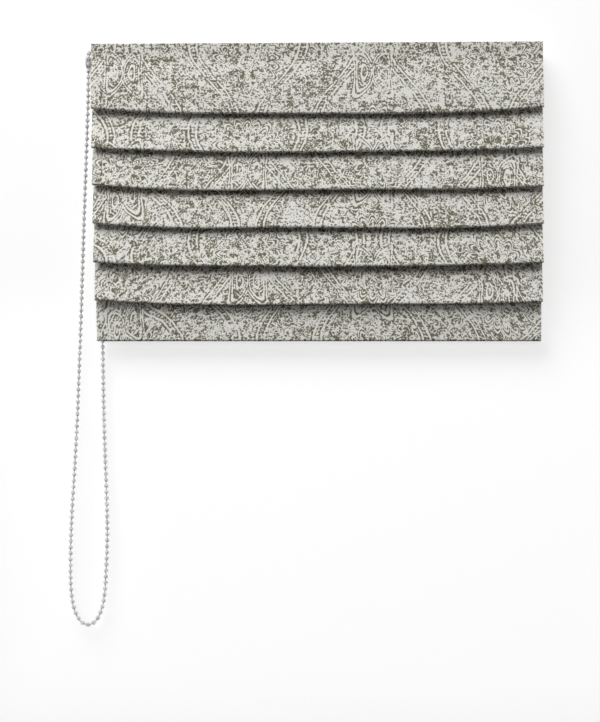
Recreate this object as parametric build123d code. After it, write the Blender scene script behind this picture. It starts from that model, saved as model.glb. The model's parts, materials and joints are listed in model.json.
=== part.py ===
from build123d import *
import math
import os

# Roman blind, half raised, in millimetres. +Z is up, the wall is the plane y = 0, and the front faces -Y.
# The origin is the middle of the four wall screw holes. A "reach" is a distance out from the wall.

# Cloth
blind_width = 600.0
cloth_thickness = 1.0
fold_count = 6
fold_pitch = 50.5
first_fold_drop = 88.0
fold_sag = 7.5
fold_depth = 20.0
edge_fold_gain = 4.0
crest_radius = 4.5
rear_fold_radius = 3.0
top_bend_radius = 40.0
hem_show = 48.5
hem_height = 32.0
fold_facets = 4
sag_station_shares = (-1.0, -0.72, -0.4, 0.4, 0.72, 1.0)
sag_shares = (0.0, 0.72, 1.0, 1.0, 0.72, 0.0)

# Headrail
rail_gap = 6.0
rail_depth = 30.0
rail_height = 26.0
rail_wall = 1.4
rail_lip = 5.0
clip_slot_width = 12.0
clip_slot_height = 2.6
rail_end_inset = 12.0
cloth_top_above_rail = 2.0
hook_tape_thickness = 1.5
hook_tape_height = 20.0
hook_tape_inset = 3.0

# Wall brackets
bracket_inset = 80.0
bracket_width = 34.0
bracket_plate = 2.0
bracket_corner = 3.0
screw_hole_diameter = 4.5
screw_hole_spacing = 18.0
clip_foot_width = 17.0
clip_foot_thickness = 1.6

# Rail ends
end_corner = 3.0
end_boss_radius = 12.5
end_plug_length = 16.0

# Drive
shaft_across_flats = 6.0
shaft_end_inset = 6.0
wheel_pocket_count = 8
wheel_outset = 4.5
wheel_width = 9.0
wheel_rim_drop = 0.5
wheel_cord_slot = 2.2
wheel_hub_diameter = 12.0
wheel_end_wall = 3.0
bush_diameter = 10.0
bush_length = 18.0
spring_wire = 1.0
spring_turns = 3
spring_facets = 10
spring_pitch = 1.5

# Cord spools and lift cords
cord_inset = 120.0
drum_radius = 4.4
drum_length = 20.0
spool_flange_radius = 7.0
spool_flange = 1.5
spool_floor_gap = 0.6
lift_cord_diameter = 1.4
winding_length = 10.0
cradle_cheek = 2.0
cradle_floor = 1.4

# Rods, pockets, eyelets and locks
rod_diameter = 4.0
first_rod_drop = 61.0
rod_end_inset = 20.0
pocket_tape = 0.7
pocket_tip = 3.0
pocket_end_inset = 12.0
eyelet_width = 8.0
eyelet_length = 6.0
eyelet_thickness = 1.6
eyelet_hole_diameter = 3.2
lock_diameter = 8.0
lock_neck_diameter = 5.0
lock_length = 12.0

# Bottom bar
bar_height = 20.0
bar_thickness = 3.0
bar_edge = 0.6
bar_room = 0.75
bar_end_inset = 15.0
bar_cap_length = 5.0
bar_cap_wall = 0.5

# Control chain
bead_diameter = 6.0
bead_pitch = 8.2
chain_cord_diameter = 1.6
# Route of the hanging loop from the wheel's front to its rear, as x, y, z chosen by hand
chain_route = [
    (-305.8, -31.0, -78.0),
    (-310.6, -30.0, -190.0),
    (-316.0, -28.5, -345.0),
    (-322.6, -26.5, -510.0),
    (-331.0, -25.0, -628.0),
    (-332.4, -24.0, -700.0),
    (-330.0, -23.0, -738.0),
    (-320.5, -21.5, -761.0),
    (-308.5, -20.0, -767.0),
    (-296.8, -18.5, -760.0),
    (-288.2, -17.0, -737.0),
    (-285.4, -16.0, -698.0),
    (-283.0, -14.5, -626.0),
    (-288.6, -12.5, -500.0),
    (-290.0, -11.5, -350.0),
    (-294.6, -10.8, -180.0),
    (-301.6, -10.4, -70.0),
]
chain_bend_share = 0.45

# Fits, and the sides of small round pieces that are modelled as prisms
running_gap = 0.3
shaft_fit = 0.15
overrun = 5.0
small_sides = 8
round_sides = 16

# Places worked out from the sizes above
half_width = blind_width / 2
half_cloth = cloth_thickness / 2
rail_top = rail_height / 2
rail_bottom = -rail_height / 2
rail_half_length = half_width - rail_end_inset
rail_front_reach = rail_gap + rail_depth
clip_slot_top = rail_top - rail_wall
chamber_top = clip_slot_top - clip_slot_height - rail_wall
chamber_bottom = rail_bottom + rail_wall
chamber_width = rail_depth - 2 * rail_wall
cloth_top = rail_top + cloth_top_above_rail
cloth_rail_reach = rail_front_reach + hook_tape_thickness
shaft_reach = rail_gap + rail_depth / 2
shaft_z = rail_bottom + cradle_floor + spool_floor_gap + spool_flange_radius
shaft_corner_radius = shaft_across_flats / math.sqrt(3)
bracket_x = half_width - bracket_inset
spool_x = half_width - cord_inset
spools_x = (-spool_x, spool_x)
winding_inner_radius = drum_radius + running_gap
winding_outer_radius = winding_inner_radius + lift_cord_diameter
cord_reach = shaft_reach - winding_outer_radius + lift_cord_diameter / 2
pocket_inner_radius = rod_diameter / 2 + running_gap
pocket_radius = pocket_inner_radius + pocket_tape
rod_reach = cord_reach + eyelet_length / 2 + running_gap + pocket_radius
cloth_rear_reach = rod_reach + pocket_radius + pocket_tip + running_gap
hem_radius = bar_thickness / 2 + bar_room + half_cloth
hem_reach = cloth_rear_reach + half_cloth - hem_radius
hem_bottom_drop = first_fold_drop + fold_sag + (fold_count - 1) * fold_pitch + hem_show
hem_centre_z = cloth_top - hem_bottom_drop + half_cloth + hem_radius
bar_low = hem_centre_z + bar_cap_wall
bar_end = half_width - bar_end_inset
wheel_x = -half_width - wheel_outset
wheel_outer_x = wheel_x - wheel_width / 2
hub_end_x = -rail_half_length + end_plug_length
pitch_radius = bead_pitch / (2 * math.sin(math.pi / wheel_pocket_count))


def rod_z(number):
    """Height of a rod's middle; the top one is number 1."""
    return cloth_top - first_rod_drop - (number - 1) * fold_pitch


lock_top = rod_z(fold_count) - eyelet_thickness / 2 - running_gap


def place(x, reach, z):
    """A point of the blind from its reach out of the wall."""
    return Vector(x, -reach, z)


def along_x(outline, start, end):
    """Extrude an outline drawn as (reach, z) from x = start to x = end."""
    section = Plane(origin=(start, 0, 0), x_dir=(0, -1, 0), z_dir=(-1, 0, 0))
    return extrude(section * outline, amount=start - end)


def on_shaft(outline, start, end):
    """Extrude an outline that is centred on the shaft."""
    return along_x(Pos(shaft_reach, shaft_z) * outline, start, end)


def box_between(x_range, reach_range, z_range):
    """A box from its lowest and highest x, reach and z."""
    low = place(x_range[0], reach_range[1], z_range[0])
    size = place(x_range[1], reach_range[0], z_range[1]) - low
    return Pos(low) * Box(*size, align=Align.MIN)


def both_sides(low, high):
    """A stretch of x on the right, and its mirror on the left."""
    return [(-high, -low), (low, high)]


def prism(radius, sides):
    """Outline of a small round piece: a polygon outside a circle of this radius."""
    return RegularPolygon(radius, sides, major_radius=False, rotation=180 / sides)


# Cloth


def cloth_rolls(share):
    """Circles that the cloth passes round at one station of the width: centre, radius, turn and facets."""
    crest_reach = cloth_rear_reach + fold_depth + edge_fold_gain * (1 - share) - half_cloth - crest_radius
    crest_drop = first_fold_drop + fold_sag * share - half_cloth - crest_radius
    rear_reach = cloth_rear_reach + half_cloth + rear_fold_radius
    bend_reach = cloth_rail_reach + half_cloth + top_bend_radius
    bend_drop = cloth_top_above_rail + hook_tape_inset + hook_tape_height
    rolls = [(Vector(bend_reach, -bend_drop), top_bend_radius, 1, 1)]
    for fold in range(fold_count):
        drop = fold * fold_pitch
        rolls.append((Vector(crest_reach, -crest_drop - drop), crest_radius, -1, fold_facets))
        rolls.append((Vector(rear_reach, -first_rod_drop - drop), rear_fold_radius, 1, fold_facets))
    rolls.append((Vector(hem_reach, hem_centre_z - cloth_top), hem_radius, -1, fold_facets))
    return rolls


def cloth_face(rolls, side):
    """One face of the cloth as (reach, height) points: straight between the circles and faceted round them."""
    grown = [(centre, radius - side * turn * half_cloth, turn, facets) for centre, radius, turn, facets in rolls]
    headings = [-math.pi / 2]
    for (a, a_radius, a_turn, _), (b, b_radius, _, _) in zip(grown, grown[1:]):
        span = b - a
        lean = a_turn * math.asin((a_radius + b_radius) / span.length)
        headings.append(math.atan2(span.Y, span.X) + lean)
    headings.append(math.pi / 2)
    points = [Vector(grown[0][0].X - grown[0][1], 0)]
    for (centre, radius, turn, facets), heading, following in zip(grown, headings, headings[1:]):
        bend = (turn * (following - heading)) % (2 * math.pi)
        for step in range(facets + 1):
            angle = heading + turn * bend * step / facets
            points.append(centre + Vector(math.sin(angle), -math.cos(angle)) * (turn * radius))
    points.append(points[-1] + Vector(0, hem_height))
    return points


def cloth_section(station_share, share):
    """The cut through the cloth at one station of the width."""
    rolls = cloth_rolls(share)
    outline = cloth_face(rolls, 1) + cloth_face(rolls, -1)[::-1]
    x = station_share * half_width
    return Wire.make_polygon([place(x, p.X, cloth_top + p.Y) for p in outline], close=True)


def make_cloth():
    """The whole panel: one folded sheet, its crests lower at mid-width than at the edges."""
    sections = [cloth_section(*station) for station in zip(sag_station_shares, sag_shares)]
    return Solid.make_loft(sections, ruled=True)


# Headrail and what hangs it on the wall


def make_headrail():
    """Extruded channel: clip slot on top, web, and a lower chamber that is open between two lips."""
    outline = Pos(shaft_reach, 0) * chamfer(Rectangle(rail_depth, rail_height).vertices(), rail_wall / 2)
    cuts = [
        (chamber_width, clip_slot_top - clip_slot_height, clip_slot_top),
        (clip_slot_width, clip_slot_top - rail_wall, rail_top + overrun),
        (chamber_width, chamber_bottom, chamber_top),
        (chamber_width - 2 * rail_lip, rail_bottom - overrun, chamber_bottom + rail_wall),
    ]
    for width, low, high in cuts:
        outline -= Pos(shaft_reach, (low + high) / 2) * Rectangle(width, high - low)
    return along_x(outline, -rail_half_length, rail_half_length)


def make_bracket(x):
    """Wall clip: screwed back plate, arm over the rail and a foot in the rail's top slot."""
    x_range = (x - bracket_width / 2, x + bracket_width / 2)
    plate_outline = Rectangle(bracket_width, rail_height + 2 * bracket_plate)
    plate_outline = chamfer(plate_outline.vertices(), bracket_corner)
    for side in (-1, 1):
        plate_outline -= Pos(side * screw_hole_spacing / 2, 0) * Circle(screw_hole_diameter / 2)
    bracket = Pos(x, 0, 0) * Rot(90, 0, 0) * extrude(plate_outline, bracket_plate)
    foot_top = clip_slot_top - running_gap
    foot_bottom = foot_top - clip_foot_thickness
    foot_half = clip_foot_width / 2
    neck_half = clip_slot_width / 2 - running_gap
    pieces = [
        ((0, shaft_reach + foot_half), (rail_top, rail_top + bracket_plate)),
        ((shaft_reach - neck_half, shaft_reach + neck_half), (foot_bottom, rail_top)),
        ((shaft_reach - foot_half, shaft_reach + foot_half), (foot_bottom, foot_top)),
    ]
    inner_range = (x_range[0] + bracket_corner, x_range[1] - bracket_corner)
    for reach_range, z_range in pieces:
        bracket += box_between(inner_range, reach_range, z_range)
    return bracket


def make_hook_tape():
    """Strip on the rail's front that the cloth's top is pressed onto."""
    top = rail_top - hook_tape_inset
    x_range = (-rail_half_length, rail_half_length)
    return box_between(x_range, (rail_front_reach, cloth_rail_reach), (top - hook_tape_height, top))


# Rail ends


def plug_outline():
    """Outline that fills the rail's chamber with running room."""
    width = chamber_width - 2 * running_gap
    height = chamber_top - chamber_bottom - 2 * running_gap
    return Pos(shaft_reach, (chamber_top + chamber_bottom) / 2) * Rectangle(width, height)


def make_rail_end(side, bore_radius):
    """A moulded rail end with its plug in the rail and a bearing bore for the shaft."""
    outer = side * (half_width - running_gap)
    face = side * rail_half_length
    plug_end = side * (rail_half_length - end_plug_length)
    outline = Pos(shaft_reach, 0) * chamfer(Rectangle(rail_depth, rail_height).vertices(), end_corner)
    outline += Pos(shaft_reach, shaft_z) * Circle(end_boss_radius)
    body = along_x(outline, *sorted((outer, face)))
    body += along_x(plug_outline(), *sorted((face, plug_end)))
    bore_range = sorted((outer + side * overrun, plug_end - side * overrun))
    return body - on_shaft(Circle(bore_radius), *bore_range)


def spring_room():
    """x range of the brake spring's pocket in the clutch housing."""
    length = spring_turns * spring_pitch + spring_wire + 2 * running_gap
    start = -half_width + (rail_end_inset - length) / 2
    return start, start + length


def make_clutch_housing():
    """Left rail end, with a wider pocket for the brake spring round the wheel's hub."""
    hub_bore = wheel_hub_diameter / 2 + running_gap
    spring_bore = prism(hub_bore + spring_wire + 2 * running_gap, round_sides)
    return make_rail_end(-1, hub_bore) - on_shaft(spring_bore, *spring_room())


def make_brake_spring():
    """Wrap spring that grips the hub: a square wire wound on a helix, faceted."""
    start = spring_room()[0] + running_gap + spring_wire / 2
    inner = wheel_hub_diameter / 2 + running_gap
    half = spring_wire / 2
    sections = []
    for step in range(spring_turns * spring_facets + 1):
        turn = 2 * math.pi * step / spring_facets
        x = start + spring_pitch * step / spring_facets
        corners = []
        for offset, radius in ((-half, inner), (half, inner), (half, inner + spring_wire), (-half, inner + spring_wire)):
            # the facets' flats, not their corners, clear the hub
            corner_radius = radius / math.cos(math.pi / spring_facets)
            reach = shaft_reach + corner_radius * math.cos(turn)
            corners.append(place(x + offset, reach, shaft_z + corner_radius * math.sin(turn)))
        sections.append(Wire.make_polygon(corners, close=True))
    return Solid.make_loft(sections, ruled=True)


def make_end_cap():
    """Right rail end, with the bearing for the idler bush."""
    return make_rail_end(1, bush_diameter / 2 + running_gap)


# Drive


def hexagon(across_flats):
    """Outline of the shaft, or of the hole that it drives."""
    return RegularPolygon(across_flats / 2, 6, major_radius=False)


def shaft_bore(start, end):
    """The hexagonal hole that the shaft drives."""
    return on_shaft(hexagon(shaft_across_flats + 2 * shaft_fit), start, end)


def on_wheel(number, shape):
    """Put a shape at a bead pocket; number 0 is the wheel's front, and the count goes over the top."""
    turn = Rot(-360 * number / wheel_pocket_count, 0, 0)
    return Pos(place(wheel_x, shaft_reach, shaft_z)) * turn * Pos(0, -pitch_radius, 0) * shape


def make_chain_wheel():
    """Wheel with a slot for the chain's cord, a pocket for each bead and a hub through the housing."""
    rim_radius = pitch_radius - wheel_rim_drop
    rim_sides = 4 * wheel_pocket_count
    wheel = on_shaft(RegularPolygon(rim_radius, rim_sides), wheel_outer_x, wheel_outer_x + wheel_width)
    wheel += on_shaft(Circle(wheel_hub_diameter / 2), wheel_x, hub_end_x)
    slot_floor = pitch_radius - chain_cord_diameter / 2 - running_gap
    slot = Circle(rim_radius + overrun) - RegularPolygon(slot_floor, rim_sides)
    wheel -= on_shaft(slot, wheel_x - wheel_cord_slot / 2, wheel_x + wheel_cord_slot / 2)
    pocket = make_ball(bead_diameter / 2 + running_gap / ball_inner_share)
    for number in range(wheel_pocket_count):
        wheel -= on_wheel(number, pocket)
    return wheel - shaft_bore(wheel_outer_x + wheel_end_wall, hub_end_x + overrun)


def make_drive_shaft():
    """Hexagonal shaft from inside the wheel to inside the idler bush."""
    start = wheel_outer_x + wheel_end_wall + shaft_fit
    return on_shaft(hexagon(shaft_across_flats), start, half_width - shaft_end_inset)


def make_idler_bush():
    """Round bush on the shaft's far end."""
    end = half_width - shaft_end_inset / 2
    start = end - bush_length
    bush = on_shaft(Circle(bush_diameter / 2), start, end)
    return bush - shaft_bore(start - overrun, half_width - shaft_end_inset + shaft_fit)


# Spools and lift cords


def make_cord_spool(x):
    """Drum with two flanges on the shaft."""
    half = drum_length / 2
    drum = prism(drum_radius * math.cos(math.pi / round_sides), round_sides)
    flange = prism(spool_flange_radius * math.cos(math.pi / round_sides), round_sides)
    spool = on_shaft(drum, x - half, x + half)
    for low, high in both_sides(half, half + spool_flange):
        spool += on_shaft(flange, x + low, x + high)
    return spool - shaft_bore(x - half - overrun, x + half + overrun)


def make_spool_cradle(x):
    """Carrier in the rail: two cheeks that the shaft turns in and a floor with the cord's hole."""
    inner = drum_length / 2 + spool_flange + running_gap
    outer = inner + cradle_cheek
    floor_half = chamber_width / 2 - rail_lip - running_gap
    reach_range = (shaft_reach - floor_half, shaft_reach + floor_half)
    cradle = box_between((x - outer, x + outer), reach_range, (rail_bottom, rail_bottom + cradle_floor))
    for low, high in both_sides(inner, outer):
        cradle += along_x(plug_outline(), x + low, x + high)
        cradle += box_between((x + low, x + high), reach_range, (rail_bottom, chamber_bottom + rail_wall))
    shaft_hole = prism(shaft_corner_radius + running_gap, round_sides)
    cradle -= on_shaft(shaft_hole, x - outer - overrun, x + outer + overrun)
    cord_hole = extrude(prism(eyelet_hole_diameter / 2, small_sides), overrun, both=True)
    return cradle - Pos(place(x, cord_reach, rail_bottom)) * cord_hole


def make_lift_cord(x):
    """Turns wound on the drum, and the drop through every eyelet into its lock."""
    half = winding_length / 2
    turns_outline = prism(winding_outer_radius, round_sides) - prism(winding_inner_radius, round_sides)
    turns = on_shaft(turns_outline, x - half, x + half)
    end = lock_top - lock_length / 2
    drop = extrude(RegularPolygon(lift_cord_diameter / 2, 6), shaft_z - end)
    return turns + Pos(place(x, cord_reach, end)) * drop


# Rods and what rides with them


def make_rod(number):
    """Stiffening rod behind a fold."""
    outline = RegularPolygon(rod_diameter / 2, round_sides)
    end = half_width - rod_end_inset
    return along_x(Pos(rod_reach, rod_z(number)) * outline, -end, end)


def make_rod_pocket(number):
    """Tape sleeve round a rod, drawn to an edge where it is sewn to the cloth."""
    flat_half = pocket_radius * math.tan(math.pi / small_sides)
    tip = make_face(
        Polyline(
            (0, 0),
            (pocket_radius, -flat_half),
            (pocket_radius + pocket_tip, 0),
            (pocket_radius, flat_half),
            close=True,
        )
    )
    sleeve = prism(pocket_radius, small_sides) + tip - prism(pocket_inner_radius, small_sides)
    end = half_width - pocket_end_inset
    return along_x(Pos(rod_reach, rod_z(number)) * sleeve, -end, end)


def make_cord_eyelets(number):
    """Two eyelets behind a rod pocket that lead the lift cords."""
    outline = Rectangle(eyelet_width, eyelet_length) - prism(eyelet_hole_diameter / 2, small_sides)
    eyelet = extrude(outline, eyelet_thickness / 2, both=True)
    return Compound(children=[Pos(place(x, cord_reach, rod_z(number))) * eyelet for x in spools_x])


def make_cord_locks():
    """Tapered locks that end the lift cords."""
    neck = Plane.XY * prism(lock_neck_diameter / 2, small_sides)
    foot = Plane.XY.offset(-lock_length) * prism(lock_diameter / 2, small_sides)
    bore = extrude(prism(lift_cord_diameter / 2 + running_gap, small_sides), lock_length / 2 + running_gap, both=True)
    lock = loft([foot, neck], ruled=True) - bore
    return Compound(children=[Pos(place(x, cord_reach, lock_top)) * lock for x in spools_x])


def make_bottom_bar():
    """Flat weight in the hem."""
    half = bar_thickness / 2
    bar = box_between((-bar_end, bar_end), (hem_reach - half, hem_reach + half), (bar_low, bar_low + bar_height))
    return chamfer(bar.edges().filter_by(Axis.X), bar_edge)


def make_bottom_bar_caps():
    """Plastic shoes on the bar's two ends."""
    half = bar_thickness / 2 + bar_cap_wall
    reach_range = (hem_reach - half, hem_reach + half)
    z_range = (bar_low - bar_cap_wall, bar_low + bar_height + bar_cap_wall)
    ends = both_sides(bar_end, bar_end + bar_cap_length)
    return Compound(children=[box_between(x_range, reach_range, z_range) for x_range in ends])


# Control chain

ball_ring_share = 1 / math.sqrt(5)
ball_inner_share = math.sqrt((5 + 2 * math.sqrt(5)) / 15)


def make_ball(radius):
    """A twenty-sided ball with its poles up and down."""
    corners = [Vector(0, 0, radius)]
    for ring, side in enumerate((1, -1)):
        for step in range(5):
            angle = 2 * math.pi * (step + ring / 2) / 5
            flat = 2 * ball_ring_share * radius
            height = side * ball_ring_share * radius
            corners.append(Vector(flat * math.cos(angle), flat * math.sin(angle), height))
    corners.append(Vector(0, 0, -radius))
    triangles = []
    for step in range(5):
        upper, upper_next = 1 + step, 1 + (step + 1) % 5
        lower, lower_next = 6 + step, 6 + (step + 1) % 5
        triangles += [(0, upper, upper_next), (11, lower_next, lower)]
        triangles += [(upper, lower, upper_next), (upper_next, lower, lower_next)]
    faces = [Face(Wire.make_polygon([corners[c] for c in triangle], close=True)) for triangle in triangles]
    return Solid(Shell(faces))


def chain_path():
    """The hanging loop: straight runs joined by the largest tangent arcs that they leave room for."""
    ends = [on_wheel(number, Vertex(0, 0, 0)).center() for number in (0, wheel_pocket_count // 2)]
    points = [ends[0], *[Vector(*p) for p in chain_route], ends[1]]
    radii = []
    for before, point, after in zip(points, points[1:], points[2:]):
        run_in, run_out = point - before, after - point
        shorter = min(run_in.length, run_out.length)
        radii.append(chain_bend_share * shorter / math.tan(math.radians(run_in.get_angle(run_out)) / 2))
    print("chain bend radii", [round(radius) for radius in radii])
    return FilletPolyline(*points, radius=radii)


def wheel_arc():
    """The chain's half turn over the wheel."""
    quarter = wheel_pocket_count // 4
    return ThreePointArc(*[on_wheel(quarter * n, Vertex(0, 0, 0)).center() for n in range(3)])


def make_chain_cord(hanging):
    """Cord of the endless chain: the hanging loop, and the half turn over the wheel that closes it."""
    pieces = []
    for path in (hanging, wheel_arc()):
        section = Plane(origin=path @ 0, x_dir=(1, 0, 0), z_dir=path % 0)
        outline = section * RegularPolygon(chain_cord_diameter / 2, 4)
        piece = sweep(outline, path=path)
        print("chain cord", round(path.length), "volume", piece.volume, outline.area * path.length)
        pieces.append(piece)
    return Compound(children=pieces)


def make_chain_beads(hanging):
    """Beads at an even pitch all round the chain, one in each pocket of the wheel's upper half."""
    bead = make_ball(bead_diameter / 2)
    count = round(hanging.length / bead_pitch)
    places = [number / count for number in range(1, count)]
    beads = [Plane(origin=hanging @ at, z_dir=hanging % at) * bead for at in places]
    beads += [on_wheel(number, bead) for number in range(wheel_pocket_count // 2 + 1)]
    print("beads", len(beads))
    return Compound(children=beads)


def make_parts():
    """Every node of the blind by name."""
    hanging = chain_path()
    parts = {
        "headrail": make_headrail(),
        "hook_tape": make_hook_tape(),
        "clutch_housing": make_clutch_housing(),
        "brake_spring": make_brake_spring(),
        "end_cap": make_end_cap(),
        "chain_wheel": make_chain_wheel(),
        "drive_shaft": make_drive_shaft(),
        "idler_bush": make_idler_bush(),
        "cord_locks": make_cord_locks(),
        "bottom_bar": make_bottom_bar(),
        "bottom_bar_caps": make_bottom_bar_caps(),
        "cloth": make_cloth(),
        "chain_cord": make_chain_cord(hanging),
        "chain_beads": make_chain_beads(hanging),
    }
    for side, sign, x in zip(("left", "right"), (-1, 1), spools_x):
        parts[f"bracket_{side}"] = make_bracket(sign * bracket_x)
        parts[f"cord_spool_{side}"] = make_cord_spool(x)
        parts[f"spool_cradle_{side}"] = make_spool_cradle(x)
        parts[f"lift_cord_{side}"] = make_lift_cord(x)
    for number in range(1, fold_count + 1):
        parts[f"rod_{number}"] = make_rod(number)
        parts[f"rod_pocket_{number}"] = make_rod_pocket(number)
        parts[f"cord_eyelets_{number}"] = make_cord_eyelets(number)
    return parts


os.makedirs("parts", exist_ok=True)
for name, shape in make_parts().items():
    export_step(shape, f"parts/{name}.step")
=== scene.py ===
"""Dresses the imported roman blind: printed cloth in folds, lift cords, bead chain, finishes and stage."""

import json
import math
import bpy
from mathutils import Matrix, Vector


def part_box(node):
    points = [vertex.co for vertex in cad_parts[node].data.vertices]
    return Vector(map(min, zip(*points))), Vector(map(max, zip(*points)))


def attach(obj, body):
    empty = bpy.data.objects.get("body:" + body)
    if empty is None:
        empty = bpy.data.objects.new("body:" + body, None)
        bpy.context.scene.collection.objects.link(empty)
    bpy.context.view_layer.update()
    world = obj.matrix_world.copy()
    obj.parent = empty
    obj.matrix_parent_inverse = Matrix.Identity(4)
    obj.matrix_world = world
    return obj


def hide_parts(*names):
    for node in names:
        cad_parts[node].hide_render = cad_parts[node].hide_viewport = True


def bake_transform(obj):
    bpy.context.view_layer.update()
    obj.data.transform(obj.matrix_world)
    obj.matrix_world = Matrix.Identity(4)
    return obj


bl_info = {
    "name": "Roman Blind",
    "version": (1, 0, 0),
    "blender": (4, 5, 0),
    "location": "View3D > Sidebar > Blind",
    "description": "Dresses a packed roman blind with its cloth, cords, chain, finishes and stage",
    "category": "Object",
}

import bpy
import numpy as np
from bpy.props import FloatProperty, FloatVectorProperty, IntProperty, PointerProperty
from mathutils import Vector

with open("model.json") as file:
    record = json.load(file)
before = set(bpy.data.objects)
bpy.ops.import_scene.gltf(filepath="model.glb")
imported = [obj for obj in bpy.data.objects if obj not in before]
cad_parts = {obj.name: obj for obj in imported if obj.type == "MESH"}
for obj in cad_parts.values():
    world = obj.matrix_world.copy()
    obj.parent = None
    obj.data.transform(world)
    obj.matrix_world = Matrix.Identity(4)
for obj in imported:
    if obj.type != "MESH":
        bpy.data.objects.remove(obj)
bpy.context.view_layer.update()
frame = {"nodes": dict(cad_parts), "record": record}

# Sizes that the frame gives, in metres
MM = 0.001
FOLD_COUNT = 6
ROD_HEIGHTS = [sum(corner.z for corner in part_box(f"rod_{n}")) / 2 for n in range(1, FOLD_COUNT + 1)]
CLOTH_LOW, CLOTH_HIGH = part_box("cloth")
CLOTH_TOP = CLOTH_HIGH.z
CLOTH_BOTTOM = CLOTH_LOW.z
HALF_WIDTH = CLOTH_HIGH.x
BODIES = ["rail"] + [f"tier_{n}" for n in range(1, FOLD_COUNT + 1)]
CLOTH_UV = "cloth_uv"
TURN = 2 * math.pi

# How far each tier opens at its lower limit
OPEN_TRAVEL = 68 * MM

# Folded cloth: the rolls that it passes round, and the steps round each roll
TOP_ROLL_REACH = 118 * MM
TOP_ROLL_RADIUS = 80 * MM
HEM_REACH = 25.95 * MM
HEM_RADIUS = 2.75 * MM
CREST_FALL = 24.3 * MM
TOP_STEPS, CREST_STEPS, REAR_STEPS, HEM_STEPS = (8,), (6, 6), (9, 2), (12,)
# A return's rows with the print on its outer side: those round its crest and those round its rod
RETURN_ROLLS = (5, 9)
# Rows between the rolls, and the turned-up hem
ROW_PITCH = 2.4 * MM
LONG_PANEL = 40 * MM
TURN_UP = 32 * MM
TURN_UP_ROWS = 12
# Stations along the width, and the side hems
STATION_COUNT = 141
SIDE_HEM = 25 * MM
SIDE_HEM_STEP = 0.7 * MM
SIDE_HEM_THICKNESS = 0.25 * MM
UNEVENNESS = 0.16 * MM
# How far a crest hangs under its rod's line in the middle, and the share of the width that hangs level
CREST_HANG_MM = 7.5
LEVEL_SHARE = 0.4

# How far each crest's left and right end lifts above its middle, from the top fold down
LEFT_LIFT_MM = (8.0, 6.0, 8.0, 7.4, 6.4, 5.4)
RIGHT_LIFT_MM = (6.6, 5.2, 4.6, 5.0, 5.0, 4.2)
# Slow rise and fall of each crest along the width: height, waves and phase
CREST_WAVES_MM = (
    (0.5, 1.3, 0.4),
    (0.6, 1.7, 2.1),
    (0.5, 1.1, 4.0),
    (0.7, 1.5, 5.2),
    (0.5, 1.9, 1.2),
    (0.6, 1.4, 3.1),
)

# The print within one repeat, in millimetres: rings are given by middle, half width and soft edge
LINE_HALF_MM, LINE_EDGE_MM = 1.0, 0.8
OGEE_MIDDLE_MM, OGEE_SWING_MM = 45, 29
OGEE_LINES_MM = (5.0, -5.0)
OGEE_RUNGS_MM = (0.0, 3.0, 0.6)
OGEE_DOTS_MM = (-12.0, 1.4, 0.9)
RUNG_COUNT, DOT_COUNT = 44, 26
FAN_RISE_MM = 26.0
FAN_LINES_MM = (46.0, 40.0, 27.0, 12.0)
FAN_VEINS_MM = (33.5, 3.6, 0.8)
FAN_LEAVES_MM = (19.5, 5.0, 1.0)
PETAL_COUNT, VEIN_COUNT = 9, 27
PETAL_DEPTH = 0.22
DROP_FALL_MM = 66.0
DROP_SPREAD_MM = 11.0
DROP_LINES_MM = (20.0, 15.5, 6.0)
DROP_HATCH_MM = (10.8, 2.6, 0.8)
# Slow changes of the print, in cells a metre, and how far its lines waver
WEAR_SCALE, FADE_SCALE, WAVER_SCALE = 24.0, 40.0, 75.0
WAVER = 4 * MM
# What each layer adds to the print's paleness
GROUND, GRAIN_SHARE, PATCH_SHARE = 0.15, 0.7, 0.40
SCROLL_SHARE, SPRIG_SHARE, WEAR_SHARE = 0.15, 0.04, 0.26

# Lift cords: turns on the spool, and the points and sides of the tubes
COIL_TURNS, COIL_STEPS, COIL_SIDES = 6, 20, 8
COIL_WIDTH = 8.4 * MM
RUN_POINTS, RUN_SIDES = 15, 10

# Stitches on the back of the hem
STITCH_INSET = 4 * MM
STITCH_PLACE = -22.7 * MM
STITCH_RISE = 31 * MM
STITCH_PITCH = 4.2 * MM
STITCH_SHARE = 0.36
THREAD_RADIUS = 0.28 * MM
THREAD_COLOUR = (0.66, 0.64, 0.58)

# Stage: the backdrop's half width, height and depth, and its shade and glow
STAGE_WIDE, STAGE_HIGH, STAGE_DEEP = 3.2, 1.6, 3.2
WALL_SHADE, WALL_GLOW = 0.42, 0.69
FLOOR_SHADE, FLOOR_GLOW = 0.30, 0.86
AIM_Y = -0.045
# Light from overhead: its slope with height, its level at the horizon and its least
SKY_SLOPE, SKY_LEVEL, SKY_LEAST = 0.9, 0.1, 0.04
# Each lamp's place, aim and size
LAMPS = {
    "key": ((-1.36, -2.42, 2.54), (0, 0, -0.2), 2.8),
    "back": ((0.7, 2.2, 0.35), (0, 0, -0.2), 1.4),
    "right": ((2.6, -0.16, 0.1), (0, -0.03, -0.15), 0.7),
    "left": ((-2.6, -0.16, 0.1), (0, -0.03, -0.15), 0.7),
    "low": ((0, -2.6, -0.2), (0, 0, -0.62), 0.9),
}
LOW_LAMP_HEIGHT = 0.55
LOW_LAMP_SPREAD = math.radians(4)

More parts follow.
